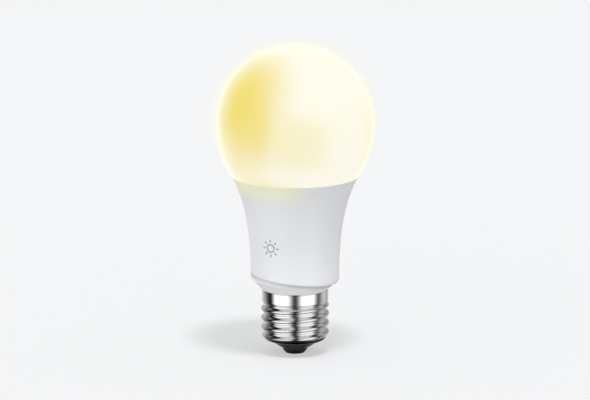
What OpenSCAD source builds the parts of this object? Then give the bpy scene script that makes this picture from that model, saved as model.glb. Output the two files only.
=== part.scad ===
// Smart light bulb: an opal globe on a flared housing, with an E27 screw cap.
// Origin: centre of the flat underside of the centre contact. +Z runs up the axis
// to the globe, and -Y is the front. All sizes are in millimetres.

/* [Overall] */
// Height from the underside of the centre contact to the top of the globe
bulb_h = 120; // [117:1:150]
// Widest diameter of the globe
globe_d = 60; // [56:0.5:72]
// Outer diameter of the housing where it is straight, just above the collar
neck_d = 34; // [32:0.5:42]
// Height of the globe above its seam with the housing
diffuser_h = 50.5; // [46:0.5:53]
// Slope of the wall at the seam, measured from the vertical
seam_slope = 30; // [22:1:36]

/* [Globe] */
// Wall of the opal globe
globe_t = 1.2; // [0.8:0.1:2]
// Depth of the globe's skirt inside the housing
skirt_h = 3; // [2:0.25:3.5]
// Wall of the globe's skirt
skirt_t = 1.2; // [0.8:0.1:2]
// Width of the adhesive bead under the skirt
bead_w = 1.5; // [1:0.1:2]

/* [Housing] */
// Wall of the plastic housing shell
housing_t = 1.6; // [1.2:0.1:2.2]
// Height of the collar cone between the screw cap and the straight neck
collar_h = 4.3; // [3.5:0.1:6]
// Height of the straight neck above the collar cone
straight_h = 1.6; // [1:0.1:4]
// Radius of the housing's rounded lower edge
edge_r = 2; // [1.7:0.1:2.2]
// Tilt of the parting line between the housing and the collar
part_tilt = 6; // [0:0.5:9]
// Height of the parting line above the screw cap, on the axis
part_h = 4.7; // [4:0.1:5.5]
// Gap that shows along the parting line
part_gap = 0.1; // [0.1:0.05:0.5]
// Depth of the recess below the parting line, at the front
recess_depth = 1.4; // [0:0.1:1.5]
// Height of the recess below the parting line
recess_h = 1.6; // [0.6:0.1:2]

/* [Base core] */
// Wall of the core's tube inside the housing neck
tube_t = 1.3; // [1:0.1:2]
// Height of the core's tube above the screw cap
tube_h = 15; // [12:0.5:16]
// Wall of the spigot inside the screw cap
spigot_t = 1.4; // [1:0.1:2]

/* [Screw cap, E27] */
// Diameter over the thread's crests
thread_d = 26.2; // [24:0.1:32]
// Height of one turn of the thread
thread_pitch = 3.62; // [3:0.01:4.5]
// Depth of the thread, crest to root
thread_depth = 1; // [0.7:0.05:1.2]
// Height of the cap's upper edge above the contact's underside
cap_h = 25.1; // [24:0.1:28]
// Height of the plain band above the thread
band_h = 4.8; // [3:0.1:6]
// Step from the thread's crest in to the plain band
band_step = 0.35; // [0.1:0.05:0.5]
// Sheet thickness of the screw shell
shell_t = 0.3; // [0.2:0.05:0.4]
// How far the lower lip turns inwards from the thread's root
lip_w = 2.1; // [1.5:0.1:2.5]
// Height of the cone of black glass below the lip
insulator_h = 3; // [2.5:0.1:3.5]
// Diameter of the centre contact's shoulder
contact_d = 9.6; // [8.5:0.1:11]
// Diameter of the centre contact's flat underside
contact_foot_d = 7.4; // [6.5:0.1:8]
// Height of the centre contact below the glass
contact_h = 2; // [1.5:0.1:2.2]

/* [Light board] */
// Number of light emitters in the ring
led_count = 16; // [8:1:20]
// Thickness of the aluminium light board
led_board_t = 1.2; // [1:0.1:1.6]
// Thickness of the thermal pad under the light board
pad_t = 0.3; // [0.2:0.05:0.5]
// Thickness of the heat sink's top plate
plate_t = 1.5; // [1.2:0.1:2]
// Wall of the heat sink's side
cup_t = 1; // [0.8:0.1:1.4]
// Depth of the light board's face below the seam
led_drop = 3.4; // [3:0.1:4]
// Thread diameter of the light board's screws
screw_d = 2.5; // [2:0.1:3]

/* [Driver] */
// Thickness of the driver board
pcb_t = 1.2; // [0.8:0.1:1.6]
// Diameter of the input capacitor
in_cap_d = 8; // [6:0.1:9.6]
// Length of the input capacitor
in_cap_h = 12.5; // [9:0.5:13]
// Diameter of the output capacitor
out_cap_d = 8; // [6:0.1:9.6]
// Length of the output capacitor
out_cap_h = 11; // [9:0.5:13]
// Width of the transformer's ferrite core
core_w = 13; // [11:0.5:15]
// Width of the wireless board
radio_w = 16; // [12:0.5:18]
// Thickness of the wireless board
radio_t = 0.8; // [0.6:0.1:1.2]

/* [Hidden] */
$fn = 96;

// Clearances
fit = 0.1;         // parts that slide together
room = 0.3;        // parts that must not touch
lead_room = 0.12;  // a lead in its board hole, on the radius
seat = 0.03;       // a glued face beside a curved wall

// Outline of the bulb
globe_r = globe_d / 2;
neck_r = neck_d / 2;
globe_z = bulb_h - globe_r;
seam_z = bulb_h - diffuser_h;
seam_r = globe_r - (globe_z - seam_z) * tan(seam_slope / 2);
shoulder_r = (globe_z - seam_z) / sin(seam_slope);
neck_z = cap_h + collar_h;
flare_z = neck_z + straight_h;
bend_z = seam_z - (seam_r - neck_r) / tan(seam_slope);
wall_steps = 28;

// The flare is a parabola: upright at the neck, and at seam_slope at the seam.
function flare_share(z) =
    let (a = flare_z - 2 * bend_z + seam_z, b = 2 * (bend_z - flare_z), c = flare_z - z)
    -2 * c / (b + sqrt(b * b - 4 * a * c));
function wall_r(z) =
    z <= flare_z ? neck_r : neck_r + (seam_r - neck_r) * pow(flare_share(z), 2);
// Points of the housing's outer wall from z0 to z1, moved in by inset
function wall(z0, z1, inset) =
    [for (i = [0:wall_steps])
        let (z = z0 + (z1 - z0) * i / wall_steps) [wall_r(z) - inset, z]];
function flip(list) = [for (i = [len(list) - 1:-1:0]) list[i]];

// Screw cap
crest_r = thread_d / 2;
root_r = crest_r - thread_depth;
band_r = crest_r - band_step;
lip_r = root_r - lip_w;
lip_z = contact_h + insulator_h;
lip_h = 1.6;
contact_edge = 0.6; // height of the contact's upright edge
glass_step = 0.4;  // black glass that shows round the centre contact
band_z = cap_h - band_h;
crest_z = 0.95;    // height of a crest on the +X side, before whole turns are added
fade_h = 1.6;      // height over which the thread runs out
band_foot_h = 0.5; // height of the step below the plain band
glass_flange_z = lip_z + lip_h + shell_t + fit;
glass_flange_t = 1.2;
glass_top_z = glass_flange_z + glass_flange_t;
stem_r = 1.2;
stem_top_z = glass_top_z + 0.5;

// Base core
spigot_r = root_r - shell_t - fit;
spigot_in = spigot_r - spigot_t;
spigot_z = glass_top_z + room;
tube_r = neck_r - housing_t - fit;
tube_in = tube_r - tube_t;
cone_foot_r = max(tube_r, band_r); // where the cone passes from the core's tube to its flange
tube_z = cap_h + collar_h * (cone_foot_r - band_r) / (neck_r - band_r);
tube_top = cap_h + tube_h;
part_z = cap_h + part_h;
rail_w = 1.2;
rail_z = neck_z + 2;
funnel_z = cap_h - 1; // where the tube's bore starts to widen above the spigot

// Light board and heat sink
led_top = seam_z - led_drop;
pad_top = led_top - led_board_t;
cup_top = pad_top - pad_t;
plate_z = cup_top - plate_t;
cup_z = tube_top + room;
cup_inset = housing_t + fit;
skirt_out = seam_r - housing_t - fit;
skirt_z = seam_z - skirt_h;
skirt_run = skirt_h * tan(seam_slope);
ledge_h = 1.2;
bead_z = skirt_z - 1.2;
led_board_r = wall_r(bead_z) - housing_t - bead_w - room;
led_ring_r = led_board_r - 3.2;
led_l = 3.5;
led_w = 2.8;
led_h = 0.8;
screw_x = 9.5;
screw_y = -5;
screw_head_r = screw_d * 0.95;
screw_head_h = 1.6;
screw_len = 5;

// Driver board
board_y = 3;
board_back = board_y + pcb_t;
board_z = spigot_z + 4;
board_top = plate_z - 1.6;
board_lo = sqrt(pow(spigot_in, 2) - pow(board_back, 2)) - room;
board_hi = sqrt(pow(tube_in, 2) - pow(board_back, 2)) - room;
board_step_z = neck_z + 1;
header_w = 8;
header_h = 2.5;
header_t = 2.5;
pin_y = board_y - header_t / 2;
pin_w = 0.6;
pin_pitch = 2.54;
pin_leg_z = board_top - header_h - 1;
pin_slot_w = 2.4;
socket_w = 8;
socket_t = 3;
socket_h = 3.5;

// Wireless board
radio_y = board_back + 2.2;
radio_top = led_top + 9;
radio_z = plate_z - 14;
radio_slot_t = radio_t + 1.4;
radio_slot_w = radio_w + 1.2;
radio_pin_z = radio_z + 1.4;
radio_pin_count = 5;
shield_w = radio_w - 4;
shield_h = 9;
shield_t = 1.8;
shield_z = radio_z + 3.2;
antenna_t = 0.1;

// Leads from the driver board to the cap
wire_r = 0.6;
wire_y = board_y - wire_r;
live_x = 3;
neutral_x = -7.2;
live_pad_z = stem_top_z + 0.8;
weld_r = spigot_in + fit;
weld_z = crest_z + 3 * thread_pitch; // a root of the thread, on the -X side
weld_pad_r = 0.9;

// Driver parts. Leaded ones stand off the board by part_off.
part_off = 0.4;
lead_r = 0.35;
lead_end = 1;
bend_drop = 2;
cap_z = neck_z + 0.6;
cap_split = 0.8;
in_cap_x = -(in_cap_d + cap_split) / 2;
out_cap_x = (out_cap_d + cap_split) / 2;
cap_lead_gap = 1.75;
resistor_x = -4.6;
resistor_r = 1.6;
resistor_l = 8;
resistor_z = board_z + 3.4;
sleeve_t = 0.3;
varistor_x = 3.6;
varistor_r = 3.5;
varistor_t = 3.2;
varistor_z = board_z + 7.5;
transformer_h = 9;
transformer_t = 5;
transformer_z = cap_z + max(in_cap_h, out_cap_h) + 2 * room + transformer_h / 2;
core_leg = 1.5;
bobbin_t = 0.6;
bobbin_y = 10;
transformer_y = board_y - bobbin_y / 2;
choke_r = 3;
choke_l = 5;
choke_flange = 1;
choke_x = -header_w / 2 - choke_r - room;
choke_z = board_top - choke_r - room;
film_w = 7;
film_h = 5;
film_t = 4;
film_x = (header_w + film_w) / 2 + room;
film_z = board_top - film_h - room;
// Each lead: x, y where it leaves its part, height there, height of its hole
LEADS = concat(
    [for (s = [-1, 1])
        [in_cap_x + s * cap_lead_gap, cap_y(in_cap_d), cap_z, cap_z - bend_drop]],
    [for (s = [-1, 1])
        [out_cap_x + s * cap_lead_gap, cap_y(out_cap_d), cap_z, cap_z - bend_drop]],
    [[resistor_x, resistor_y(), resistor_z, resistor_z - bend_drop],
     [resistor_x, resistor_y(), resistor_z + resistor_l, resistor_z + resistor_l + bend_drop]],
    [for (s = [-1, 1])
        [varistor_x + s * cap_lead_gap, varistor_y(), varistor_z - varistor_r * 0.8,
         varistor_z - varistor_r - bend_drop]]);
function cap_y(d) = board_y - part_off - d / 2;
function resistor_y() = board_y - part_off - resistor_r - sleeve_t;
function varistor_y() = board_y - part_off - varistor_t / 2;

// ---- Building blocks ----

// A flat outline drawn as x and z, given thickness t from y towards the back
module upright(y, t) {
    translate([0, y + t, 0]) rotate([90, 0, 0]) linear_extrude(t) children();
}

// A box centred on x and y, standing on z
module block(x, y, z, w, d, h) {
    translate([x - w / 2, y - d / 2, z]) cube([w, d, h]);
}

// The space below the tilted parting line, lowered by drop
module below_parting(drop) {
    big = 4 * neck_d;
    translate([0, 0, part_z - drop]) rotate([0, part_tilt, 0])
        translate([-big / 2, -big / 2, -big]) cube(big);
}

// Half outline of the globe, moved in by inset
module globe_outline(inset) {
    intersection() {
        translate([0, globe_z]) circle(r = globe_r - inset, $fn = 180);
        translate([0, globe_z]) square([globe_r, globe_r]);
    }
    intersection() {
        translate([globe_r - shoulder_r, globe_z]) circle(r = shoulder_r - inset, $fn = 240);
        translate([0, seam_z]) square([globe_r, globe_z - seam_z]);
    }
}

// A round bar swept along a list of points, with flat ends
module sweep(path, r, sides = 8) {
    n = len(path);
    function unit(v) = v / norm(v);
    function along(i) = unit(path[min(i + 1, n - 1)] - path[max(i - 1, 0)]);
    function across(i) = unit(cross(along(i), [0.3, 1, 0.2]));
    points = [for (i = [0:n - 1], k = [0:sides - 1])
        let (a = 360 * k / sides, u = across(i), v = cross(along(i), u))
        path[i] + r * (cos(a) * u + sin(a) * v)];
    sides_faces = [for (i = [0:n - 2], k = [0:sides - 1], half = [0, 1])
        let (k2 = (k + 1) % sides, a = i * sides, b = a + sides)
        half == 0 ? [a + k, b + k, a + k2] : [b + k, b + k2, a + k2]];
    ends = [[for (k = [0:sides - 1]) k], [for (k = [sides - 1:-1:0]) (n - 1) * sides + k]];
    polyhedron(points, concat(sides_faces, ends));
}

// Screw holes, pin slot and wireless slot through the light board's stack
module deck_cuts(z, h, hole_r) {
    for (s = [-1, 1])
        translate([s * screw_x, screw_y, z - 1]) cylinder(r = hole_r, h = h + 2);
    block(0, pin_y, z - 1, header_w, pin_slot_w, h + 2);
    block(0, radio_y + radio_t / 2, z - 1, radio_slot_w, radio_slot_t, h + 2);
}

// ---- Globe and housing ----

module diffuser_globe() color("#f6e79a") rotate_extrude() {
    difference() {
        globe_outline(0);
        globe_outline(globe_t);
    }
    polygon([
        [seam_r - globe_t / 2, seam_z], [skirt_out, seam_z],
        [skirt_out - skirt_run, skirt_z], [skirt_out - skirt_run - skirt_t, skirt_z],
        [skirt_out - skirt_t, seam_z + ledge_h], [seam_r - globe_t / 2, seam_z + ledge_h]]);
}

module diffuser_adhesive() color("#eceae4") rotate_extrude() polygon([
    [wall_r(bead_z) - housing_t - bead_w, bead_z], [wall_r(bead_z) - housing_t - seat, bead_z],
    [wall_r(skirt_z) - housing_t - seat, skirt_z], [wall_r(bead_z) - housing_t - bead_w, skirt_z]]);

module housing_shell() color("#eceef2") difference() {
    rotate_extrude() {
        polygon(concat(
            [for (a = [-60:10:0])
                [neck_r - edge_r + edge_r * cos(a), neck_z + edge_r * sin(a)]],
            wall(flare_z, seam_z, 0), flip(wall(flare_z, seam_z, housing_t)),
            [[neck_r - housing_t, neck_z - edge_r * sin(60)]]));
    }
    below_parting(0);
}

module base_core() color("#e4e6ea") {
    difference() {
        rotate_extrude() polygon(concat(
            [[spigot_in, spigot_z], [spigot_r, spigot_z], [spigot_r, cap_h]],
            tube_r > band_r ? [[band_r, cap_h]] : [],
            [[tube_r, tube_z], [tube_r, tube_top], [tube_in, tube_top],
             [tube_in, neck_z], [spigot_in, funnel_z]]));
        // Window that lets the neutral lead reach the screw shell
        block(-spigot_r, 0, weld_z - weld_pad_r - room, 4 * spigot_t,
              2 * (weld_pad_r + room), 2 * (weld_pad_r + room));
    }
    // Flange that shows below the parting line
    difference() {
        intersection() {
            rotate_extrude() polygon([
                [tube_in + room, tube_z], [cone_foot_r, tube_z], [neck_r, neck_z],
                [neck_r, flare_z + edge_r], [tube_in + room, flare_z + edge_r]]);
            below_parting(part_gap);
        }
        // Recess under the housing's edge: none on the -X side, deepest on the +X side
        difference() {
            cylinder(r = 2 * neck_r, h = seam_z);
            below_parting(part_gap + recess_h);
            translate([-recess_depth - fit, 0, 0])
                cylinder(r = neck_r - recess_depth, h = seam_z);
        }
    }
    // Rails that hold the edges of the driver board
    intersection() {
        for (s = [-1, 1], y = [board_y - fit - rail_w, board_back + fit])
            translate([s > 0 ? board_hi - rail_w : -tube_r, y, rail_z])
                cube([tube_r - board_hi + rail_w, rail_w, tube_top - rail_z]);
        cylinder(r = tube_in + tube_t / 2, h = tube_top);
    }
}

// ---- Screw cap ----

function ramp(x) = let (t = min(max(x, 0), 1)) t * t * (3 - 2 * t);
// Radius of the screw shell's outer face at an angle and a height
function shell_r(angle, z) =
    let (turn = (z - crest_z) / thread_pitch - angle / 360,
         fade = ramp((z - lip_z - lip_h / 2) / fade_h) * ramp((band_z - z) / fade_h),
         foot = ramp((z - band_z + band_foot_h) / band_foot_h))
    root_r + fade * thread_depth * (1 + cos(360 * turn)) / 2 + foot * (band_r - root_r);

module screw_shell() {
    sides = 38;
    per_turn = 8;
    thread_z = lip_z + lip_h;
    steps = ceil((band_z - thread_z) / thread_pitch * per_turn);
    // Stations up the outer face, each the turn of its lip arc and its height
    stations = concat(
        [for (a = [0:22.5:67.5]) [a, lip_z + lip_h * (1 - cos(a))]],
        [for (i = [0:steps]) [90, thread_z + (band_z - thread_z) * i / steps]],
        [[90, cap_h]]);
    n = len(stations);
    function on_shell(s, angle, t) =
        let (a = s[0], z = s[1],
             r = a < 90 ? lip_r + (root_r - lip_r) * sin(a) : shell_r(angle, z))
        [(r - t * sin(a)) * cos(angle), (r - t * sin(a)) * sin(angle), z + t * cos(a)];
    loop = concat([for (s = stations) [s, 0]], flip([for (s = stations) [s, shell_t]]));
    points = [for (l = loop, k = [0:sides - 1]) on_shell(l[0], 360 * k / sides, l[1])];
    faces = [for (i = [0:2 * n - 1], k = [0:sides - 1], half = [0, 1])
        let (a = i * sides, b = ((i + 1) % (2 * n)) * sides, k2 = (k + 1) % sides)
        half == 0 ? [a + k, b + k, a + k2] : [b + k, b + k2, a + k2]];
    color("#c9ccd0") polyhedron(points, faces);
}

module cap_insulator() color("#17171a") rotate_extrude() polygon([
    [stem_r + fit, contact_h], [contact_d / 2 + glass_step, contact_h], [lip_r - fit, lip_z],
    [lip_r - fit, glass_flange_z], [root_r - shell_t - room, glass_flange_z],
    [root_r - shell_t - room, glass_top_z], [stem_r + fit, glass_top_z]]);

module centre_contact() color("#8d8f92") rotate_extrude() polygon([
    [0, 0], [contact_foot_d / 2, 0], [contact_d / 2, contact_h - contact_edge],
    [contact_d / 2, contact_h], [stem_r, contact_h], [stem_r, stem_top_z], [0, stem_top_z]]);

// ---- Heat sink and light board ----

module heat_sink_cup() color("#b9bcc0") difference() {
    rotate_extrude() polygon(concat(
        wall(cup_z, cup_top, cup_inset), [[0, cup_top], [0, plate_z]],
        flip(wall(cup_z, plate_z, cup_inset + cup_t))));
    deck_cuts(plate_z, plate_t, screw_d / 2);
}

module thermal_pad() color("#9fb4c8") difference() {
    translate([0, 0, cup_top]) cylinder(r = led_board_r, h = pad_t);
    deck_cuts(cup_top, pad_t, screw_d / 2 + fit);
}

module led_board() color("#f3f4f2") difference() {
    translate([0, 0, pad_top]) cylinder(r = led_board_r, h = led_board_t);
    deck_cuts(pad_top, led_board_t, screw_d / 2 + fit);
}

module led_chips() color("#f4d24a") {
    frame = 0.35; // wall of the frame round the phosphor
    deep = 0.16;  // depth of the phosphor in its frame
    for (i = [0:led_count - 1]) rotate([0, 0, 360 * (i + 0.5) / led_count]) difference() {
        block(led_ring_r, 0, led_top, led_w, led_l, led_h);
        block(led_ring_r, 0, led_top + led_h - deep, led_w - 2 * frame, led_l - 2 * frame, led_h);
    }
}

module led_board_screws() color("#c4c7ca") {
    cross_w = 0.5;
    cross_l = screw_head_r * 1.3;
    for (s = [-1, 1]) translate([s * screw_x, screw_y, led_top]) difference() {
        union() {
            cylinder(r = screw_head_r, h = screw_head_h);
            translate([0, 0, -screw_len]) cylinder(d = screw_d, h = screw_len);
        }
        block(0, 0, screw_head_h / 2, cross_l, cross_w, screw_head_h);
        block(0, 0, screw_head_h / 2, cross_w, cross_l, screw_head_h);
    }
}

module led_board_socket() color("#f0ece2") difference() {
    block(0, pin_y, led_top, socket_w, socket_t, socket_h);
    for (i = [-1:1])
        block(i * pin_pitch, pin_y, led_top - 1, pin_w + 2 * fit, pin_w + 2 * fit, socket_h + 2);
}

// ---- Driver board ----

module driver_board() color("#3f7a4d") difference() {
    upright(board_y, pcb_t) polygon([
        [-board_lo, board_z], [board_lo, board_z], [board_lo, cap_h],
        [board_hi, board_step_z], [board_hi, board_top], [-board_hi, board_top],
        [-board_hi, board_step_z], [-board_lo, cap_h]]);
    for (l = LEADS) translate([l[0], board_y - 1, l[3]]) rotate([-90, 0, 0])
        cylinder(r = lead_r + lead_room, h = pcb_t + 2);
    for (i = [-1:1])
        block(i * pin_pitch, board_y + pcb_t / 2, pin_leg_z - fit,
              pin_w + 2 * fit, pcb_t + 2, pin_w + 2 * fit);
}

module driver_pin_header() color("#1d1e20") difference() {
    block(0, pin_y, board_top - header_h, header_w, header_t, header_h);
    for (i = [-1:1])
        block(i * pin_pitch, pin_y, board_top - header_h - 1, pin_w, pin_w, header_h + 2);
}

module driver_pins() color("#c9a64a") for (i = [-1:1]) {
    block(i * pin_pitch, pin_y, pin_leg_z, pin_w, pin_w, led_top + socket_h - 1 - pin_leg_z);
    translate([i * pin_pitch - pin_w / 2, pin_y, pin_leg_z])
        cube([pin_w, board_back + lead_end - pin_y, pin_w]);
}

module component_leads() color("#cfd2d4") for (l = LEADS) {
    low = min(l[2], l[3]);
    translate([l[0], l[1], low]) cylinder(r = lead_r, h = abs(l[3] - l[2]));
    translate([l[0], l[1], l[3]]) sphere(r = lead_r);
    translate([l[0], l[1], l[3]]) rotate([-90, 0, 0])
        cylinder(r = lead_r, h = board_back + lead_end - l[1]);
}

module solder_joints() color("#d9dbdc") {
    foot = 0.6;
    tip = 0.15;
    high = 0.7;
    for (l = LEADS) translate([l[0], board_back, l[3]]) rotate([-90, 0, 0]) rotate_extrude()
        polygon([[lead_r, 0], [lead_r + foot, 0], [lead_r + tip, high], [lead_r, high]]);
}

module fusible_resistor() color("#8ba4b8") {
    waist = resistor_r - 0.25; // between the two end caps
    end_h = resistor_l * 0.2;
    step_h = resistor_l * 0.27;
    translate([resistor_x, resistor_y(), resistor_z]) rotate_extrude() polygon([
        [0, 0], [resistor_r, 0], [resistor_r, end_h], [waist, step_h],
        [waist, resistor_l - step_h], [resistor_r, resistor_l - end_h],
        [resistor_r, resistor_l], [0, resistor_l]]);
}

module fuse_sleeve() color("#26282c") {
    past = 0.6; // how far the sleeve runs past each end of the resistor
    long = resistor_l + 2 * past;
    translate([resistor_x, resistor_y(), resistor_z - past]) difference() {
        cylinder(r = resistor_r + sleeve_t, h = long);
        translate([0, 0, -1]) cylinder(r = resistor_r, h = long + 2);
    }
}

module varistor() color("#2f5fa8") difference() {
    edge = 0.8; // bevel of the disc
    translate([varistor_x, varistor_y() + varistor_t / 2, varistor_z]) rotate([90, 0, 0])
        rotate_extrude() polygon([
            [0, 0], [varistor_r - edge, 0], [varistor_r, edge], [varistor_r, varistor_t - edge],
            [varistor_r - edge, varistor_t], [0, varistor_t]]);
    for (s = [-1, 1])
        translate([varistor_x + s * cap_lead_gap, varistor_y(), varistor_z - 2 * varistor_r])
            cylinder(r = lead_r, h = varistor_r * 1.2);
}

module capacitor(x, d, h) {
    r = d / 2;
    foot = 0.3;     // bevel at the lower edge
    crimp = 0.35;   // depth of the groove that seals the can
    crimp_z = 1.6;
    crimp_h = 0.8;
    rim = 0.5;      // bevel and width of the top's rim
    vent = 0.25;    // depth of the top inside its rim
    translate([x, cap_y(d), cap_z]) rotate_extrude() polygon([
        [0, 0], [r - foot, 0], [r, foot], [r, crimp_z - crimp_h / 2], [r - crimp, crimp_z],
        [r, crimp_z + crimp_h / 2], [r, h - rim], [r - rim, h], [r - 2 * rim, h],
        [r - 2 * rim, h - vent], [0, h - vent]]);
}

module input_capacitor() color("#2b2f36") capacitor(in_cap_x, in_cap_d, in_cap_h);
module output_capacitor() color("#3a3f6b") capacitor(out_cap_x, out_cap_d, out_cap_h);

module film_capacitor() color("#b8452f") {
    edge = 0.5; // bevel of the box
    translate([film_x, 0, 0]) upright(board_y - film_t, film_t)
        translate([-film_w / 2, film_z]) polygon([
            [edge, 0], [film_w - edge, 0], [film_w, edge], [film_w, film_h - edge],
            [film_w - edge, film_h], [edge, film_h], [0, film_h - edge], [0, edge]]);
}

module bridge_rectifier() color("#1e1f22") {
    w = 5;
    h = 4.4;
    t = 2;
    foot_w = 0.7;
    foot_h = 2;
    foot_t = 0.4;
    foot_x = 1.3;
    middle = cap_z + 3.2;
    block(0, board_back + foot_t + t / 2, middle - h / 2, w, t, h);
    for (s = [-1, 1], x = [-foot_x, foot_x])
        block(x, board_back + foot_t / 2, middle + s * h / 2 - foot_h / 2, foot_w, foot_t, foot_h);
}

// Windows of the ferrite core, on both sides of its middle leg
window_h = transformer_h - 2 * core_leg;
window_w = core_w / 2 - 1.5 * core_leg;

module transformer_core() color("#3a3b3e") difference() {
    block(0, transformer_y, transformer_z - transformer_h / 2,
          core_w, transformer_t, transformer_h);
    for (s = [-1, 1])
        block(s * (core_leg + window_w) / 2, transformer_y, transformer_z - window_h / 2,
              window_w, transformer_t + 2, window_h);
}

module around_leg(w, d, h, hole_w, hole_d) {
    difference() {
        block(0, transformer_y, transformer_z - h / 2, w, d, h);
        block(0, transformer_y, transformer_z - h / 2 - 1, hole_w, hole_d, h + 2);
    }
}

leg_w = core_leg + 2 * fit;
leg_t = transformer_t + 2 * fit;
bobbin_w = core_leg + 2 * window_w - 2 * fit;
bobbin_h = window_h - 2 * fit;

module transformer_bobbin() color("#efe9d8") {
    around_leg(leg_w + 2 * bobbin_t, leg_t + 2 * bobbin_t, bobbin_h, leg_w, leg_t);
    for (s = [-1, 1]) translate([0, 0, s * (bobbin_h - bobbin_t) / 2])
        around_leg(bobbin_w, bobbin_y, bobbin_t, leg_w, leg_t);
}

module transformer_winding() color("#e2b23c")
    around_leg(bobbin_w - 0.4, bobbin_y - 0.6, bobbin_h - 2 * bobbin_t,
               leg_w + 2 * bobbin_t, leg_t + 2 * bobbin_t);

module choke_core() color("#34353a")
    translate([choke_x, board_y, choke_z]) rotate([90, 0, 0]) rotate_extrude() polygon([
        [0, 0], [choke_r, 0], [choke_r, choke_flange], [choke_r / 2, choke_flange],
        [choke_r / 2, choke_l - choke_flange], [choke_r, choke_l - choke_flange],
        [choke_r, choke_l], [0, choke_l]]);

module choke_winding() color("#b8622b")
    translate([choke_x, board_y - choke_flange, choke_z]) rotate([90, 0, 0]) difference() {
        cylinder(r = choke_r - room, h = choke_l - 2 * choke_flange);
        translate([0, 0, -1]) cylinder(r = choke_r / 2, h = choke_l);
    }

module driver_chip() color("#202124") {
    w = 4;
    h = 5;
    t = 1.3;
    lift = 0.2;      // of the body above the board
    leg = 0.4;
    leg_pitch = 1.27;
    leg_l = 1.6;
    middle = transformer_z - 5.5;
    block(0, board_back + lift + t / 2, middle - h / 2, w, t, h);
    for (s = [-1, 1], i = [-1.5:1.5])
        block(s * (w + leg_l - 2 * leg) / 2, board_back + leg / 2,
              middle + leg_pitch * i - leg / 2, leg_l, leg, leg);
}

// Small chips in rows on the back of the driver board
module driver_small_parts() color("#2a2b2e") {
    w = 1.6;
    h = 0.9;
    t = 0.6;
    row_step = 4;
    for (x = [-9, -6.5, 6.5, 9], i = [0:2])
        block(x, board_back + t / 2, cap_z + 1 + i * row_step, w, t, h);
}

// ---- Wireless board ----

module wireless_board() color("#2d4f8f") difference() {
    block(0, radio_y + radio_t / 2, radio_z, radio_w, radio_t, radio_top - radio_z);
    for (i = [0:radio_pin_count - 1])
        block((i - (radio_pin_count - 1) / 2) * pin_pitch, radio_y + radio_t / 2,
              radio_pin_z - fit, pin_w + 2 * fit, radio_t + 2, pin_w + 2 * fit);
}

module wireless_shield() color("#c2c6c9")
    block(0, radio_y + radio_t + shield_t / 2, shield_z, shield_w, shield_t, shield_h);

module wireless_antenna() color("#c08a3a") {
    track = 0.7;
    rise = 5;
    foot = radio_top - rise - 1;
    pitch = 2 * track;
    turns = floor((radio_w - 3) / pitch);
    left = -turns * pitch / 2;
    y = radio_y + radio_t + antenna_t / 2;
    for (i = [0:turns]) block(left + i * pitch, y, foot, track, antenna_t, rise);
    for (i = [0:turns - 1])
        block(left + (i + 0.5) * pitch, y, i % 2 == 0 ? foot + rise - track : foot,
              pitch, antenna_t, track);
}

module wireless_pins() color("#c9a64a") for (i = [0:radio_pin_count - 1])
    translate([(i - (radio_pin_count - 1) / 2) * pin_pitch - pin_w / 2, board_back, radio_pin_z])
        cube([pin_w, radio_y + radio_t + 0.6 - board_back, pin_w]);

// ---- Leads to the cap ----

module live_lead() color("#8c5a32") sweep([
    [live_x, wire_y, board_z + 2], [live_x, wire_y, board_z],
    [live_x - 0.4, wire_y - 0.3, board_z - 0.9], [live_x - 1.5, wire_y / 2, board_z - 1.5],
    [0.4, 0.3, board_z - 1.8], [0, 0, live_pad_z + 0.8], [0, 0, live_pad_z]], wire_r);

module neutral_lead() color("#2f6fb3") sweep([
    [neutral_x, wire_y, weld_z + 3.6], [neutral_x, wire_y, weld_z + 1.6],
    [neutral_x - 0.2, wire_y - 0.3, weld_z + 0.6], [neutral_x - 0.9, wire_y / 2, weld_z + 0.1],
    [neutral_x - 1.8, 0.3, weld_z], [1 - weld_r, 0, weld_z], [-weld_r, 0, weld_z]], wire_r);

module live_solder() color("#d9dbdc") translate([0, 0, stem_top_z])
    cylinder(r1 = stem_r, r2 = wire_r + fit, h = live_pad_z - stem_top_z);

module neutral_solder() color("#d9dbdc") translate([-weld_r, 0, weld_z]) rotate([0, -90, 0])
    cylinder(r = weld_pad_r, h = root_r - shell_t - fit - weld_r);

diffuser_globe();
diffuser_adhesive();
housing_shell();
base_core();
screw_shell();
cap_insulator();
centre_contact();
heat_sink_cup();
thermal_pad();
led_board();
led_chips();
led_board_screws();
led_board_socket();
driver_board();
driver_pin_header();
driver_pins();
component_leads();
solder_joints();
fusible_resistor();
fuse_sleeve();
varistor();
bridge_rectifier();
input_capacitor();
output_capacitor();
film_capacitor();
transformer_core();
transformer_bobbin();
transformer_winding();
choke_core();
choke_winding();
driver_chip();
driver_small_parts();
wireless_board();
wireless_shield();
wireless_antenna();
wireless_pins();
live_lead();
neutral_lead();
live_solder();
neutral_solder();
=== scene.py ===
"""Looks of the smart light bulb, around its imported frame. Everything is in metres."""
import math

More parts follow.
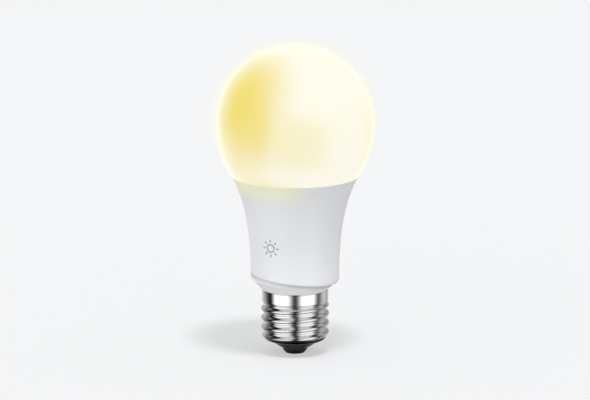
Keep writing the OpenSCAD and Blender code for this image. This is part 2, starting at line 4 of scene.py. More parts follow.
import bpy
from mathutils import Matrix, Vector


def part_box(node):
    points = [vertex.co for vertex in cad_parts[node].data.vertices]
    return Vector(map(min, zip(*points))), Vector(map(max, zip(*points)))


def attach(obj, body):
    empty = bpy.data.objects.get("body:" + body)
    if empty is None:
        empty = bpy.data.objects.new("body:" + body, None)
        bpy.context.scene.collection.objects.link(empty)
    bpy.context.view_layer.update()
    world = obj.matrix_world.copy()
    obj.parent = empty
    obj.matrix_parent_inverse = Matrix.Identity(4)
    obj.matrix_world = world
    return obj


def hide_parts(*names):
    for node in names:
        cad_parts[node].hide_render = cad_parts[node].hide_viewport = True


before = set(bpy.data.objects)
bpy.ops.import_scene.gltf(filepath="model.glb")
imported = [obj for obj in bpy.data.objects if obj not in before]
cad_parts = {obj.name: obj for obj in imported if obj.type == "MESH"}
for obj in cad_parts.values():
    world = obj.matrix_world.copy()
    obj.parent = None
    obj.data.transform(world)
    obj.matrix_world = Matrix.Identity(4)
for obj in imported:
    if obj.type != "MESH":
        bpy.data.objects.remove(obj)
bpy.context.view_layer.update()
MM = 0.001

# ---------------------------------------------------------------- sizes from the frame

def corners(node):
    """Lowest and highest corners of a CAD node, in millimetres."""
    low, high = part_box(node)
    return [v / MM for v in low], [v / MM for v in high]


globe_low, globe_high = corners("diffuser_globe")
house_high = corners("housing_shell")[1]
shell_low, shell_high = corners("screw_shell")

bulb_h = globe_high[2]
globe_r = globe_high[0]
seam_z = house_high[2]
seam_r = house_high[0]
cap_h = shell_high[2]
crest_r = shell_high[0]

# Sizes that the boxes don't show, as in the CAD design
NECK_R = 17.0                  # the housing's straight stretch
COLLAR_H = 4.3                 # from the cap's top to that stretch
STRAIGHT_H = 1.6               # height of that stretch
SEAM_SLOPE = math.radians(30)  # of the wall at the seam, from upright
HOUSING_T = 1.6                # the housing's wall
GLOBE_T = 1.2                  # the globe's wall
EDGE_R = 2.0                   # rounding of the housing towards its lower edge
PART_TILT = math.radians(6)    # of the housing's lower edge
PART_H = 4.7                   # of that edge above the cap, on the axis
RECESS_H = 1.6                 # of the core's recess under that edge
PITCH = 3.62                   # of the thread
DEPTH = 1.0                    # of the thread
BAND_H = 4.8                   # the plain band above the thread
BAND_STEP = 0.35               # from the thread's crests in to the band
SHELL_T = 0.3                  # sheet of the screw shell
LIP_W = 2.1                    # width of the rounded lip under the thread
LIP_H = 1.6                    # height of that lip
CREST_Z = 0.95                 # height of a crest on the +X side, less whole turns
FADE_H = 1.6                   # over which the thread rises and dies out
FOOT_H = 0.5                   # over which the shell widens to the band
GRAIN = 0.02 * MM              # depth of a moulded surface's grain, in metres

globe_z = bulb_h - globe_r
shoulder_r = (globe_z - seam_z) / math.sin(SEAM_SLOPE)
neck_z = cap_h + COLLAR_H
flare_z = neck_z + STRAIGHT_H
bend_z = seam_z - (seam_r - NECK_R) / math.tan(SEAM_SLOPE)
part_z = cap_h + PART_H
root_r = crest_r - DEPTH
band_r = crest_r - BAND_STEP
lip_r = root_r - LIP_W
lip_z = shell_low[2]
band_z = cap_h - BAND_H


def wall_r(z):
    """Radius of the housing's outer wall at a height."""
    if z <= neck_z:
        drop = min(neck_z - z, EDGE_R * 0.98)
        return NECK_R - EDGE_R + math.sqrt(EDGE_R ** 2 - drop ** 2)
    if z <= flare_z:
        return NECK_R
    # The flare is one parabola from flare_z to the seam, and share is how far along it z lies
    a = flare_z - 2 * bend_z + seam_z
    b = 2 * (bend_z - flare_z)
    c = flare_z - z
    share = -2 * c / (b + math.sqrt(b * b - 4 * a * c))
    return NECK_R + (seam_r - NECK_R) * share ** 2


def globe_wall_r(z, inset=0.0):
    """Radius of the globe at a height, moved in by inset."""
    if z >= globe_z:
        return math.sqrt(max((globe_r - inset) ** 2 - (z - globe_z) ** 2, 0.0))
    return globe_r - shoulder_r + math.sqrt((shoulder_r - inset) ** 2 - (globe_z - z) ** 2)


def smooth(x):
    """A smooth step from 0 at 0 to 1 at 1."""
    t = min(max(x, 0.0), 1.0)
    return t * t * (3 - 2 * t)


# ---------------------------------------------------------------- mesh helpers

def make_mesh(name, points, faces):
    """A smooth-shaded object from points in millimetres."""
    mesh = bpy.data.meshes.new(name)
    mesh.from_pydata([tuple(c * MM for c in p) for p in points], [], faces)
    mesh.validate()
    mesh.shade_smooth()
    obj = bpy.data.objects.new(name, mesh)
    bpy.context.scene.collection.objects.link(obj)
    return obj


def turned(column, segments):
    """Points round the axis: at each angle, the (r, z) points that column(angle) gives."""
    points = []
    for k in range(segments):
        angle = 2 * math.pi * k / segments
        points += [(r * math.cos(angle), r * math.sin(angle), z) for r, z in column(angle)]
    return points


def bands(n, segments, gap=None):
    """Faces between neighbouring columns of n points. Each column is a loop, open after point gap."""
    faces = []
    for k in range(segments):
        after = (k + 1) % segments
        for i in range(n):
            if i != gap:
                j = (i + 1) % n
                faces.append((k * n + i, after * n + i, after * n + j, k * n + j))
    return faces


def fan(n, i, segments, pole):
    """Triangles from point i of neighbouring columns of n points to one pole."""
    return [(k * n + i, (k + 1) % segments * n + i, pole) for k in range(segments)]


def skin(name, column, segments):
    """A closed ring-shaped solid: column(angle) gives one closed loop of (r, z) points."""
    points = turned(column, segments)
    return make_mesh(name, points, bands(len(points) // segments, segments))


def ball(name, column, segments, gap, first_z, second_z):
    """A closed turned solid on the axis. The loop of column(angle) is open after point gap, and the
    two sides of the opening close at first_z and second_z on the axis."""
    points = turned(column, segments)
    n = len(points) // segments
    pole = len(points)
    points += [(0, 0, first_z), (0, 0, second_z)]
    back = fan(n, (gap + 1) % n, segments, pole + 1)
    faces = bands(n, segments, gap) + fan(n, gap, segments, pole) + [face[::-1] for face in back]
    return make_mesh(name, points, faces)


# ---------------------------------------------------------------- materials

class Paint:
    """A procedural material: a Principled shader with its own noise for colour, gloss and bump."""

    def __init__(self, name, roughness, metallic=0.0, **sockets):
        self.material = bpy.data.materials.new(name)
        self.material.use_nodes = True
        self.tree = self.material.node_tree
        self.shader = self.tree.nodes["Principled BSDF"]
        self.shader.inputs["Metallic"].default_value = metallic
        self.shader.inputs["Roughness"].default_value = roughness
        for socket, value in sockets.items():
            self.shader.inputs[socket.replace("_", " ")].default_value = value
        self.coords = self.node("ShaderNodeTexCoord").outputs["Object"]

    def node(self, kind, **values):
        """A new node of one kind, with these settings."""
        made = self.tree.nodes.new(kind)
        for key, value in values.items():
            setattr(made, key, value)
        return made

    def link(self, a, b):
        self.tree.links.new(a, b)

    def noise(self, scale, detail=3.0, stretch=(1, 1, 1)):
        """Noise whose grain is about 1 / scale metres."""
        mapping = self.node("ShaderNodeMapping")
        mapping.inputs["Scale"].default_value = stretch
        self.link(self.coords, mapping.inputs["Vector"])
        noise = self.node("ShaderNodeTexNoise")
        noise.inputs["Scale"].default_value = scale
        noise.inputs["Detail"].default_value = detail
        self.link(mapping.outputs["Vector"], noise.inputs["Vector"])
        return noise.outputs["Fac"]

    def spread(self, value, low, high):
        """The noise's middle range, stretched to low..high."""
        ranged = self.node("ShaderNodeMapRange")
        ranged.inputs["From Min"].default_value = 0.3
        ranged.inputs["From Max"].default_value = 0.7
        ranged.inputs["To Min"].default_value = low
        ranged.inputs["To Max"].default_value = high
        self.link(value, ranged.inputs["Value"])
        return ranged.outputs["Result"]

    def step(self, value, start, end, low=0.0, high=1.0):
        """low before start and high past end, with a smooth step between. It may run downwards."""
        ranged = self.node("ShaderNodeMapRange", interpolation_type="SMOOTHSTEP")
        ranged.inputs["From Min"].default_value = start
        ranged.inputs["From Max"].default_value = end
        ranged.inputs["To Min"].default_value = low
        ranged.inputs["To Max"].default_value = high
        self.link(value, ranged.inputs["Value"])
        return ranged.outputs["Result"]

    def along(self, axis):
        """The place along one axis, in metres."""
        split = self.node("ShaderNodeSeparateXYZ")
        self.link(self.coords, split.inputs["Vector"])
        return split.outputs[axis]

    def combine(self, operation, a, b, clamped=False):
        """One sum, product or other operation on two sockets."""
        made = self.node("ShaderNodeMath", operation=operation, use_clamp=clamped)
        self.link(a, made.inputs[0])
        self.link(b, made.inputs[1])
        return made.outputs["Value"]

    def blend(self, factor, a, b):
        """a where the factor is 0, b where it is 1. Each is a colour or a socket."""
        mix = self.node("ShaderNodeMix", data_type="RGBA")
        self.link(factor, mix.inputs[0])
        # Inputs 6 and 7 and output 2 are the ones that a mix of colours uses
        for index, value in ((6, a), (7, b)):
            if isinstance(value, tuple):
                mix.inputs[index].default_value = (*value, 1)
            else:
                self.link(value, mix.inputs[index])
        return mix.outputs[2]

    def base(self, value):
        self.link(value, self.shader.inputs["Base Color"])

    def tint(self, share, colour):
        """Mixes a colour into the base colour that is already there."""
        plain = self.shader.inputs["Base Color"].links[0].from_socket
        self.base(self.blend(share, plain, colour))

    def rough(self, value):
        self.link(value, self.shader.inputs["Roughness"])

    def bump(self, value, strength, distance):
        bump = self.node("ShaderNodeBump")
        bump.inputs["Strength"].default_value = strength
        bump.inputs["Distance"].default_value = distance
        self.link(value, bump.inputs["Height"])
        self.link(bump.outputs["Normal"], self.shader.inputs["Normal"])


def grained(name, colour, shade, roughness, grain, bump, metallic=0.0, stretch=(1, 1, 1), **sockets):
    """A part's everyday finish: two shades of one colour, uneven gloss and a fine grain."""
    paint = Paint(name, roughness, metallic, **sockets)
    fine = paint.noise(grain, 4.0, stretch)
    broad = paint.noise(grain / 12, 2.0)
    paint.base(paint.blend(paint.spread(broad, 0.0, 1.0), colour, shade))
    paint.rough(paint.spread(fine, roughness * 0.8, min(roughness * 1.25, 1.0)))
    paint.bump(fine, bump, GRAIN)
    return paint.material


# ---------------------------------------------------------------- the visible pieces

def put(obj, material, *nodes, slot):
    """Gives a piece its material and its body, and hides the CAD nodes it stands for. The slot is not
    used.
    """
    obj.data.materials.append(material)
    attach(obj, "root")
    if nodes:
        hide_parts(*nodes)
    return obj


def opal():
    """Opal globe, lit from inside, with painted shade: deep yellow at one side, where the shade is
    painted, nearly white at the other.
    """
    paint = Paint("opal", 0.25, Specular_IOR_Level=0.05, Emission_Strength=1.0)

    def near(spot, flatness, inner, outer, weight):
        """1 away from a painted shade spot on the globe, down to 1 - weight inside it."""
        squashed = paint.node("ShaderNodeVectorMath", operation="MULTIPLY")
        squashed.inputs[1].default_value = (1, 1, flatness)
        paint.link(paint.coords, squashed.inputs[0])
        away = paint.node("ShaderNodeVectorMath", operation="DISTANCE")
        away.inputs[1].default_value = (spot[0] * MM, spot[1] * MM, spot[2] * flatness * MM)
        paint.link(squashed.outputs["Vector"], away.inputs[0])
        return paint.step(away.outputs["Value"], inner * MM, outer * MM, 1 - weight)

    # Each painted shade spot, where the globe's colour is painted deeper yellow: its middle, how flat
    # it is (1 is round), where it starts to fade, where it ends, and how much of the paleness it takes
    # away
    painted_shade_spots = [
        ((-19.5, -18.7, globe_z + 12), 0.6, 2, 26, 1.0),   # the large patch at the upper left
        ((2, -28, globe_z - 2.5), 1.1, 3, 19, 0.33),       # the middle of the front
        ((-14, -26.4, globe_z + 2), 0.5, 1, 7.5, 0.48),    # between those two
        ((29, -6, globe_z - 5), 0.5, 2, 13, 0.22),         # the right edge
        ((-9, -22, seam_z), 4.0, 3, 16, 0.24),             # along the seam
    ]
    pale = near(*painted_shade_spots[0])
    for spot in painted_shade_spots[1:]:
        pale = paint.combine("MULTIPLY", pale, near(*spot))
    cloud = paint.spread(paint.noise(50, 2.0), -0.03, 0.03)
    uneven = paint.combine("ADD", pale, cloud, clamped=True)
    # Painted shade: deep yellow inside the spots and pale elsewhere, with a faint random cloud, in both
    # the emission and the base colour
    tone = paint.blend(uneven, (0.765, 0.612, 0.07), (0.887, 0.866, 0.762))
    paint.link(tone, paint.shader.inputs["Emission Color"])
    paint.base(paint.blend(uneven, (0.09, 0.075, 0.025), (0.09, 0.086, 0.07)))
    paint.bump(paint.noise(900, 2.0), 0.02, GRAIN)
    return paint.material


def globe():
    """The opal dome, with the skirt that sits in the housing."""
    fit = 0.1           # the skirt's clearance in the housing
    skirt_t = 1.2       # thickness of the skirt
    soft = 0.12         # rounding of the globe's edge at the seam
    lift = 0.02         # of the globe's edge above the housing's
    shoulder_steps = 24
    dome_steps = 72
    segments = 192
    skirt_r = seam_r - HOUSING_T - fit
    skirt_z = globe_low[2]
    run = (seam_z - skirt_z) * math.tan(SEAM_SLOPE)

    def side(inset, start):
        """The wall from just over the seam to the top of the globe."""
        low = seam_z + start
        heights = [low + (globe_z - low) * i / shoulder_steps for i in range(shoulder_steps)]
        turns = [math.pi / 2 * i / dome_steps for i in range(dome_steps)]
        r = globe_r - inset
        points = [(globe_wall_r(z, inset), z) for z in heights]
        return points + [(r * math.cos(a), globe_z + r * math.sin(a)) for a in turns]

    rim = [(skirt_r - run - skirt_t, skirt_z), (skirt_r - run, skirt_z), (skirt_r, seam_z),
           (seam_r - 2 * soft, seam_z + lift), (seam_r - soft / 2, seam_z + soft / 3)]
    outer = rim + side(0, soft)
    inner = [(skirt_r - skirt_t, seam_z + skirt_t)] + side(GLOBE_T, skirt_t)
    loop = outer + inner[::-1]
    top_z = globe_z + globe_r
    made = ball("opal_globe", lambda angle: loop, segments, len(outer) - 1, top_z, top_z - GLOBE_T)
    return put(made, opal(), "diffuser_globe", slot="opal_diffuser")


def satin_white(name, colour, shade, roughness):
    """White moulded plastic, with a fine grain and uneven gloss."""
    paint = Paint(name, roughness, Specular_IOR_Level=0.35)
    fine = paint.noise(1400, 3.0)
    broad = paint.noise(45, 2.0)
    paint.base(paint.blend(paint.spread(broad, 0.0, 1.0), colour, shade))
    paint.rough(paint.spread(paint.noise(300, 3.0), roughness * 0.9, roughness * 1.12))
    paint.bump(fine, 0.06, GRAIN)
    return paint


def housing():
    """The white shell that flares from its slanted lower edge up to the seam."""
    soft = 0.2          # rounding at the seam
    crisp = 0.1         # rounding of the lower edge
    outer_steps = 60
    inner_steps = 24
    segments = 256

    def edge(cosine):
        """Height where the parting plane meets the outer wall at this angle."""
        z = part_z
        for _ in range(12):
            z = part_z - math.tan(PART_TILT) * wall_r(z) * cosine
        return z

    def column(angle):
        cosine = math.cos(angle)
        foot = edge(cosine)
        inner_r = NECK_R - HOUSING_T
        inner_foot = part_z - math.tan(PART_TILT) * inner_r * cosine
        low = foot + crisp
        rise = seam_z - soft - low
        outer = [(wall_r(z), z) for z in
                 [low + rise * i / outer_steps for i in range(outer_steps + 1)]]
        start_r = wall_r(low)
        under = [(inner_r, inner_foot), (start_r - 0.9 * crisp, foot + 0.1 * crisp),
                 (start_r - 0.3 * crisp, foot + 0.3 * crisp)]
        top = [(seam_r - 0.3 * soft, seam_z - 0.3 * soft), (seam_r - soft, seam_z),
               (seam_r - HOUSING_T, seam_z)]
        inner = [(wall_r(z) - HOUSING_T, z) for z in
                 [seam_z - (seam_z - flare_z) * i / inner_steps for i in range(1, inner_steps + 1)]]
        return under + outer + top + inner

    made = skin("flared_housing", column, segments)
    paint = satin_white("housing_white", (0.80, 0.81, 0.83), (0.78, 0.79, 0.815), 0.38)
    spill_light(paint)
    return put(made, paint.material, "housing_shell", slot="housing_plastic")


def spill_light(paint):
    """The yellow light that leaks from the globe's warm side into the plastic below the seam."""
    leftwards = paint.step(paint.along("X"), 8 * MM, -6 * MM)
    upwards = paint.step(paint.along("Z"), (seam_z - 9) * MM, (seam_z - 2) * MM)
    paint.tint(paint.combine("MULTIPLY", leftwards, upwards), (0.88, 0.89, 0.66))


def shell_radius(angle, z):
    """Outer radius of the screw shell: rounded turns that fade at both ends, then the band."""
    turn = (z - CREST_Z) / PITCH - angle / (2 * math.pi)
    fade = smooth((z - lip_z - LIP_H / 2) / FADE_H) * smooth((band_z - z) / FADE_H)
    foot = smooth((z - band_z + FOOT_H) / FOOT_H)
    wave = (1 + math.cos(2 * math.pi * turn)) / 2
    return root_r + fade * DEPTH * wave + foot * (band_r - root_r)


def nickel():
    """Bright plating, with painted shade: nearly black on the lip that is crimped over the glass."""
    paint = Paint("nickel_plate", 0.07, 1.0)
    hair = paint.noise(900, 4.0, (1, 1, 9))
    stain = paint.noise(160, 3.0)
    plating = paint.blend(paint.spread(stain, 0.0, 1.0), (0.82, 0.82, 0.81), (0.74, 0.74, 0.74))
    # Painted shade: the lip under the thread is painted nearly black, the plating starts above it
    clear_of_painted_shade = paint.step(paint.along("Z"), (lip_z + LIP_H * 0.7) * MM, (lip_z + LIP_H * 1.5) * MM)
    paint.base(paint.blend(clear_of_painted_shade, (0.035, 0.034, 0.033), plating))
    paint.rough(paint.spread(hair, 0.08, 0.15))
    paint.bump(hair, 0.04, 0.01 * MM)
    return paint.material


def screw_shell():
    """The plated sheet: a rounded lip, the thread, the plain band and its rolled top edge."""
    thread_z = lip_z + LIP_H
    lip_steps = 10
    thread_steps = 150
    band_steps = 5
    segments = 240
    roll_r = 0.1
    upright = math.pi / 2

    def column(angle):
        """The outer points with the direction of the sheet there, then the roll, then the inside."""
        outer = [(lip_r + (root_r - lip_r) * math.sin(a), lip_z + LIP_H * (1 - math.cos(a)), a)
                 for a in [upright * i / lip_steps for i in range(lip_steps)]]
        outer += [(shell_radius(angle, z), z, upright) for z in
                  [thread_z + (band_z - thread_z) * i / thread_steps for i in range(thread_steps + 1)]]
        outer += [(band_r, band_z + BAND_H * i / band_steps, upright) for i in range(1, band_steps)]
        outer += [(band_r, cap_h - roll_r, upright)]
        roll = [(band_r - 0.3 * roll_r, cap_h - 0.3 * roll_r), (band_r - roll_r, cap_h),
                (band_r - 2.2 * roll_r, cap_h)]
        inner = [(r - SHELL_T * math.sin(a), z + SHELL_T * math.cos(a)) for r, z, a in outer[::-1]]
        return [(r, z) for r, z, a in outer] + roll + inner

    made = skin("threaded_shell", column, segments)
    return put(made, nickel(), "screw_shell", slot="cap_metal")


def mark():
    """A plain sun symbol, printed on the housing: a ring with eight rays round it."""
    centre_angle = math.radians(-90 - 32)
    centre_z = 43.9
    proud = 0.03
    ring_in = 1.25
    ring_out = 1.75
    ray_in = 2.35
    ray_out = 3.5
    half = 0.25         # half a ray's width
    rays = 8
    ring_steps = 48
    ray_steps = 3
    points, faces = [], []

    def place(u, v, lift):
        """A point on the wall, u round it and v up from the mark's middle."""
        z = centre_z + v
        r = wall_r(z) + lift
        angle = centre_angle + u / wall_r(centre_z)
        return (r * math.cos(angle), r * math.sin(angle), z)

    def strip(pairs, closed):
        """A raised strip between two edges, each given as (u, v) points."""
        first = len(points)
        for a, b in pairs:
            points.extend([place(*a, proud), place(*b, proud), place(*b, -proud), place(*a, -proud)])
        count = len(pairs)
        for i in range(count if closed else count - 1):
            p = first + 4 * i
            q = first + 4 * ((i + 1) % count)
            for k in range(4):
                faces.append((p + k, p + (k + 1) % 4, q + (k + 1) % 4, q + k))
        if not closed:
            last = first + 4 * (count - 1)
            faces.append((first + 3, first + 2, first + 1, first))
            faces.append((last, last + 1, last + 2, last + 3))

    def polar(r, a):
        return (r * math.cos(a), r * math.sin(a))

    ring = [2 * math.pi * i / ring_steps for i in range(ring_steps)]
    strip([(polar(ring_in, a), polar(ring_out, a)) for a in ring], True)
    along = [ray_in + (ray_out - ray_in) * k / ray_steps for k in range(ray_steps + 1)]
    for i in range(rays):
        a = 2 * math.pi * i / rays
        side = polar(half, a + math.pi / 2)
        strip([((s * math.cos(a) + side[0], s * math.sin(a) + side[1]),
                (s * math.cos(a) - side[0], s * math.sin(a) - side[1])) for s in along], False)
    made = make_mesh("sun_mark", points, faces)
    made.data.shade_flat()
    ink = grained("grey_ink", (0.36, 0.37, 0.38), (0.33, 0.34, 0.35), 0.5, 2500, 0.1)
    return put(made, ink, slot="housing_plastic")


globe()
housing()
screw_shell()
mark()


def finish_nodes(material, *names):
    """Gives CAD nodes a finish in place of their plain colour."""
    for name in names:
        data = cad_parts[name].data
        data.materials.clear()
        data.materials.append(material)


def core_white():
    """The core's plastic, lighter below its recess, where the cap throws light up at it."""
    paint = satin_white("core_white", (0.66, 0.665, 0.675), (0.64, 0.645, 0.66), 0.42)
    # A height that is the same all along the slanted recess, so that the change follows it
    height = paint.node("ShaderNodeVectorMath", operation="DOT_PRODUCT")
    height.inputs[1].default_value = (math.tan(PART_TILT), 0, 1)
    paint.link(paint.coords, height.inputs[0])
    recess_z = part_z - RECESS_H
    lit = paint.step(height.outputs["Value"], (recess_z + 0.5) * MM, (recess_z - 0.4) * MM)
    paint.tint(lit, (0.93, 0.935, 0.94))
    return paint.material


def black_glass():
    """Nearly black glass, with hardly any sheen."""
    paint = Paint("black_glass", 0.09, Specular_IOR_Level=0.03)
    broad = paint.spread(paint.noise(220), 0.0, 1.0)
    paint.base(paint.blend(broad, (0.004, 0.004, 0.004), (0.009, 0.009, 0.009)))
    paint.rough(paint.spread(paint.noise(500), 0.06, 0.16))
    paint.bump(paint.noise(350, 2.0), 0.15, 0.03 * MM)
    return paint.material


def copper_winding():
    """Lacquered wire, wound close."""
    paint = Paint("copper_winding", 0.3, 1.0)
    turns = paint.node("ShaderNodeTexWave", bands_direction="Y")
    turns.inputs["Scale"].default_value = 700
    paint.link(paint.coords, turns.inputs["Vector"])
    paint.base(paint.blend(turns.outputs["Fac"], (0.35, 0.12, 0.05), (0.72, 0.30, 0.13)))
    paint.bump(turns.outputs["Fac"], 0.6, 0.05 * MM)
    return paint.material


def board(name, mask, trace):
    """Solder mask with the faint lines of the tracks under it."""
    paint = Paint(name, 0.32, Coat_Weight=0.3, Coat_Roughness=0.2)
    tracks = paint.node("ShaderNodeTexBrick")
    tracks.inputs["Scale"].default_value = 160
    tracks.inputs["Mortar Size"].default_value = 0.03
    paint.link(paint.coords, tracks.inputs["Vector"])
    paint.base(paint.blend(tracks.outputs["Fac"], mask, trace))
    paint.rough(paint.spread(paint.noise(700), 0.25, 0.42))
    paint.bump(tracks.outputs["Fac"], 0.3, 0.03 * MM)
    return paint.material


tin = grained("tinned_metal", (0.74, 0.75, 0.76), (0.62, 0.63, 0.64), 0.25, 1200, 0.15, 1.0)
gold = grained("gold_flash", (0.83, 0.62, 0.25), (0.74, 0.52, 0.2), 0.2, 900, 0.1, 1.0)
black_mould = grained("black_mould", (0.022, 0.022, 0.024), (0.03, 0.03, 0.032), 0.5, 1600, 0.3)
cream_mould = grained("cream_mould", (0.82, 0.79, 0.70), (0.77, 0.74, 0.65), 0.45, 1200, 0.2)
ferrite = grained("ferrite", (0.05, 0.05, 0.053), (0.08, 0.078, 0.08), 0.6, 1800, 0.5)

finish_nodes(core_white(), "base_core")
finish_nodes(black_glass(), "cap_insulator")
# Painted shade: the centre contact is painted nearly black and dull, for the shade under the bulb's foot
finish_nodes(grained("contact_plate", (0.020, 0.020, 0.021), (0.010, 0.010, 0.010), 0.3, 700, 0.2,
                     Specular_IOR_Level=0.15), "centre_contact")
finish_nodes(grained("clear_silicone", (0.82, 0.81, 0.77), (0.76, 0.75, 0.7), 0.4, 500, 0.3),
             "diffuser_adhesive")
finish_nodes(grained("drawn_aluminium", (0.78, 0.79, 0.80), (0.68, 0.69, 0.71), 0.34, 700, 0.2,
                     1.0, (1, 1, 12)), "heat_sink_cup")
finish_nodes(grained("thermal_silicone", (0.36, 0.46, 0.56), (0.30, 0.40, 0.50), 0.7, 900, 0.3),
             "thermal_pad")
finish_nodes(board("white_mask", (0.86, 0.87, 0.85), (0.78, 0.79, 0.78)), "led_board")
finish_nodes(board("green_mask", (0.03, 0.20, 0.07), (0.05, 0.30, 0.11)), "driver_board")
finish_nodes(board("blue_mask", (0.01, 0.05, 0.22), (0.02, 0.09, 0.32)), "wireless_board")
finish_nodes(grained("phosphor", (0.93, 0.66, 0.10), (0.88, 0.58, 0.07), 0.6, 1500, 0.4), "led_chips")
finish_nodes(grained("zinc_screw", (0.72, 0.73, 0.74), (0.60, 0.61, 0.62), 0.28, 900, 0.2, 1.0),
             "led_board_screws")
finish_nodes(cream_mould, "led_board_socket", "transformer_bobbin")
finish_nodes(black_mould, "driver_pin_header", "bridge_rectifier", "driver_chip",
             "driver_small_parts", "fuse_sleeve")
finish_nodes(gold, "driver_pins", "wireless_pins")
finish_nodes(tin, "component_leads", "solder_joints", "live_solder", "neutral_solder")
finish_nodes(grained("lacquered_ceramic", (0.24, 0.34, 0.42), (0.20, 0.29, 0.37), 0.4, 900, 0.2),
             "fusible_resistor")
finish_nodes(grained("blue_epoxy", (0.03, 0.10, 0.40), (0.02, 0.08, 0.33), 0.22, 600, 0.2), "varistor")
finish_nodes(grained("black_film", (0.02, 0.022, 0.028), (0.03, 0.032, 0.04), 0.2, 500, 0.1),
             "input_capacitor")
finish_nodes(grained("blue_film", (0.03, 0.03, 0.13), (0.04, 0.04, 0.17), 0.2, 500, 0.1),
             "output_capacitor")
finish_nodes(grained("red_epoxy", (0.42, 0.05, 0.02), (0.36, 0.04, 0.02), 0.25, 700, 0.2),
             "film_capacitor")
finish_nodes(ferrite, "transformer_core", "choke_core")
finish_nodes(grained("yellow_tape", (0.80, 0.50, 0.05), (0.74, 0.44, 0.04), 0.3, 800, 0.2, 0.0,
                     (1, 1, 8)), "transformer_winding")
finish_nodes(copper_winding(), "choke_winding")
finish_nodes(grained("pressed_tinplate", (0.74, 0.75, 0.76), (0.66, 0.67, 0.68), 0.3, 600, 0.15, 1.0),
             "wireless_shield")
finish_nodes(grained("bare_copper", (0.70, 0.38, 0.18), (0.60, 0.30, 0.14), 0.3, 900, 0.15, 1.0),
             "wireless_antenna")
finish_nodes(grained("brown_insulation", (0.13, 0.05, 0.02), (0.10, 0.04, 0.015), 0.5, 900, 0.2),
             "live_lead")
finish_nodes(grained("blue_insulation", (0.02, 0.10, 0.36), (0.015, 0.08, 0.30), 0.5, 900, 0.2),
             "neutral_lead")

# ---------------------------------------------------------------- floor, light and camera

def floor():
    """A pale floor that shines a little by itself, and that the bulb neither reflects nor is lit by."""
    half = 4000
    square = [(-half, -half, 0), (half, -half, 0), (half, half, 0), (-half, half, 0)]
    made = make_mesh("studio_floor", square, [(0, 1, 2, 3)])
    paint = Paint("floor_paper", 1.0, Specular_IOR_Level=0.0, Emission_Strength=0.49)
    paint.shader.inputs["Emission Color"].default_value = (1.0, 1.01, 1.02, 1)
    tint = paint.spread(paint.noise(3.0, 2.0), 0.0, 1.0)
    paint.base(paint.blend(tint, (0.22, 0.222, 0.225), (0.222, 0.224, 0.227)))
    made.data.materials.append(paint.material)
    made.visible_glossy = made.visible_diffuse = False
    return made


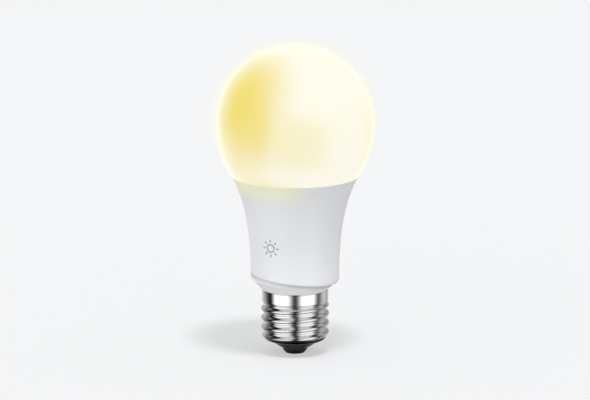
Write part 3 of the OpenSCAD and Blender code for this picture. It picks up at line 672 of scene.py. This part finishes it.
def studio():
    """Even light for matt surfaces, and a studio of soft boxes and dark flags for shiny ones."""
    even_light = 1.11
    box_light = 1.45
    side_fall = -0.08   # of the even light, from the middle to the right
    world = bpy.data.worlds.new("studio")
    world.use_nodes = True
    bpy.context.scene.world = world
    tree = world.node_tree
    tree.nodes.clear()

    def node(kind, **values):
        made = tree.nodes.new(kind)
        for key, value in values.items():
            setattr(made, key, value)
        return made

    def ramp(source, stops):
        """Greys given as (place, value), with the place from 0 to 1."""
        made = node("ShaderNodeValToRGB")
        made.color_ramp.interpolation = "EASE"
        elements = made.color_ramp.elements
        while len(elements) > 1:
            elements.remove(elements[-1])
        elements[0].position = stops[0][0]
        elements[0].color = (stops[0][1],) * 3 + (1,)
        for position, value in stops[1:]:
            elements.new(position).color = (value,) * 3 + (1,)
        tree.links.new(source, made.inputs["Fac"])
        return made.outputs["Color"]

    def math_node(operation, a, b):
        made = node("ShaderNodeMath", operation=operation)
        for socket, value in zip(made.inputs, (a, b)):
            if isinstance(value, (int, float)):
                socket.default_value = value
            elif value is not None:
                tree.links.new(value, socket)
        return made.outputs["Value"]

    direction = node("ShaderNodeTexCoord").outputs["Generated"]
    split = node("ShaderNodeSeparateXYZ")
    tree.links.new(direction, split.inputs["Vector"])
    minus_y = math_node("MULTIPLY", split.outputs["Y"], -1)
    turn = math_node("ARCTAN2", split.outputs["X"], minus_y)
    round_share = math_node("ADD", math_node("DIVIDE", turn, 2 * math.pi), 0.5)
    rise = math_node("ARCSINE", split.outputs["Z"], None)
    height = math_node("ADD", math_node("DIVIDE", rise, math.pi), 0.5)

    def at(degrees):
        return degrees / 360 + 0.5

    # Round the bulb: two soft boxes in front, a dark flag between them, and one at each side
    around = ramp(round_share, [
        (at(-180), 0.50), (at(-150), 0.50), (at(-125), 0.24), (at(-108), 0.05), (at(-97), 0.0),
        (at(-88), 0.07), (at(-80), 0.53), (at(-72), 1.0), (at(-27), 1.0), (at(-17), 0.62),
        (at(-10), 0.22), (at(-3), 0.05), (at(4), 0.05), (at(11), 0.25), (at(18), 0.65),
        (at(27), 1.0), (at(66), 1.0), (at(76), 0.5), (at(83), 0.17), (at(90), 0.08),
        (at(100), 0.20), (at(110), 0.38), (at(123), 0.46), (at(140), 0.32), (at(180), 0.50)])

    def up(degrees):
        return degrees / 180 + 0.5

    # Up the bulb: bright at the height of the boxes, with strips of light and dark above and below
    above = ramp(height, [
        (up(-90), 0.01), (up(-70), 0.02), (up(-60), 0.25), (up(-51), 0.75), (up(-44), 0.30),
        (up(-37), 0.75), (up(-30), 0.45), (up(-21), 1.0), (up(-5), 1.0), (up(4), 0.55),
        (up(14), 0.9), (up(24), 0.45), (up(36), 0.85), (up(48), 0.3), (up(60), 0.5), (up(90), 0.35)])
    shiny = math_node("MULTIPLY", math_node("MULTIPLY", around, above), box_light)
    side = math_node("ADD", math_node("MULTIPLY", split.outputs["X"], side_fall), 1.0)
    matt = math_node("MULTIPLY", ramp(height, [(0.0, 0.39), (0.5, 0.85), (1.0, 1.0)]), side)

    even = node("ShaderNodeBackground")
    tree.links.new(matt, even.inputs["Color"])
    even.inputs["Strength"].default_value = even_light
    boxes = node("ShaderNodeBackground")
    tree.links.new(shiny, boxes.inputs["Color"])
    mix = node("ShaderNodeMixShader")
    tree.links.new(node("ShaderNodeLightPath").outputs["Is Glossy Ray"], mix.inputs["Fac"])
    tree.links.new(even.outputs["Background"], mix.inputs[1])
    tree.links.new(boxes.outputs["Background"], mix.inputs[2])
    tree.links.new(mix.outputs["Shader"], node("ShaderNodeOutputWorld").inputs["Surface"])


def haze(density):
    """Air that fades what is behind it into a warm white."""
    material = bpy.data.materials.new("haze")
    material.use_nodes = True
    tree = material.node_tree
    tree.nodes.clear()
    lost = tree.nodes.new("ShaderNodeVolumeAbsorption")
    lost.inputs["Color"].default_value = (0, 0, 0, 1)
    lost.inputs["Density"].default_value = density
    given = tree.nodes.new("ShaderNodeEmission")
    given.inputs["Color"].default_value = (1.02, 1.0, 0.78, 1)
    given.inputs["Strength"].default_value = density
    both = tree.nodes.new("ShaderNodeAddShader")
    tree.links.new(lost.outputs["Volume"], both.inputs[0])
    tree.links.new(given.outputs["Emission"], both.inputs[1])
    out = tree.nodes.new("ShaderNodeOutputMaterial")
    tree.links.new(both.outputs["Shader"], out.inputs["Volume"])
    return material


def glow():
    """The faint haze of light round the lit globe, thinner further out and to the right."""
    foot_z = seam_z - 12
    sunk = 0.05         # of the haze into the bulb's surface, at its foot
    thinning = 0.25     # towards the right
    side_steps = 40
    dome_steps = 36
    segments = 96
    layers = [(1.1, 28), (1.9, 17), (2.8, 5), (3.8, 4)]  # how far each reaches, and its density

    def ring(angle, reach):
        thick = reach * (1 - thinning * math.cos(angle))
        points = []
        for i in range(side_steps):
            share = i / side_steps
            z = foot_z + (globe_z - foot_z) * share
            r = wall_r(z) if z < seam_z else globe_wall_r(z)
            points.append((r + thick * smooth(share) - sunk, z))
        for i in range(dome_steps):
            up = math.pi / 2 * i / dome_steps
            points.append(((globe_r + thick) * math.cos(up), globe_z + (globe_r + reach) * math.sin(up)))
        return points

    for reach, density in layers:
        obj = ball("haze", lambda angle: ring(angle, reach), segments,
                   side_steps + dome_steps - 1, globe_z + globe_r + reach, foot_z)
        obj.data.materials.append(haze(density))


def lamp(name, energy, spread, direction, only=None):
    """A soft lamp, far away in one direction. No reflection shows it, and it may light one object only."""
    data = bpy.data.lights.new(name, "SUN")
    data.energy = energy
    data.angle = math.radians(spread)
    obj = bpy.data.objects.new(name, data)
    bpy.context.scene.collection.objects.link(obj)
    obj.visible_glossy = False
    obj.rotation_euler = Vector(direction).to_track_quat("Z", "Y").to_euler()
    if only:
        group = bpy.data.collections.new(name)
        group.objects.link(only)
        obj.light_linking.receiver_collection = group


def camera():
    """A long lens, a little above the bulb."""
    elevation = math.radians(12)
    distance = 3000 * MM
    wide = 226.3 * MM   # width of the view at the bulb
    middle = 59.7 * MM  # height at the middle of the view
    sensor = 36
    data = bpy.data.cameras.new("camera")
    data.sensor_width = sensor
    data.lens = sensor * distance / wide
    data.clip_start = 0.01
    data.clip_end = 50
    obj = bpy.data.objects.new("camera", data)
    bpy.context.scene.collection.objects.link(obj)
    away = Vector((0, -math.cos(elevation), math.sin(elevation)))
    obj.location = Vector((0, 0, middle)) + away * distance
    obj.rotation_euler = away.to_track_quat("Z", "Y").to_euler()
    bpy.context.scene.camera = obj


camera()
studio()
glow()
overhead = (0.09, -0.30, 1.0)
lamp("key", 1.16, 10, overhead)
lamp("floor_key", 1.53, 10, overhead, floor())
lamp("fill", 0.3, 40, (-0.55, -1.0, 0.65))
bpy.context.scene.view_settings.view_transform = "Standard"
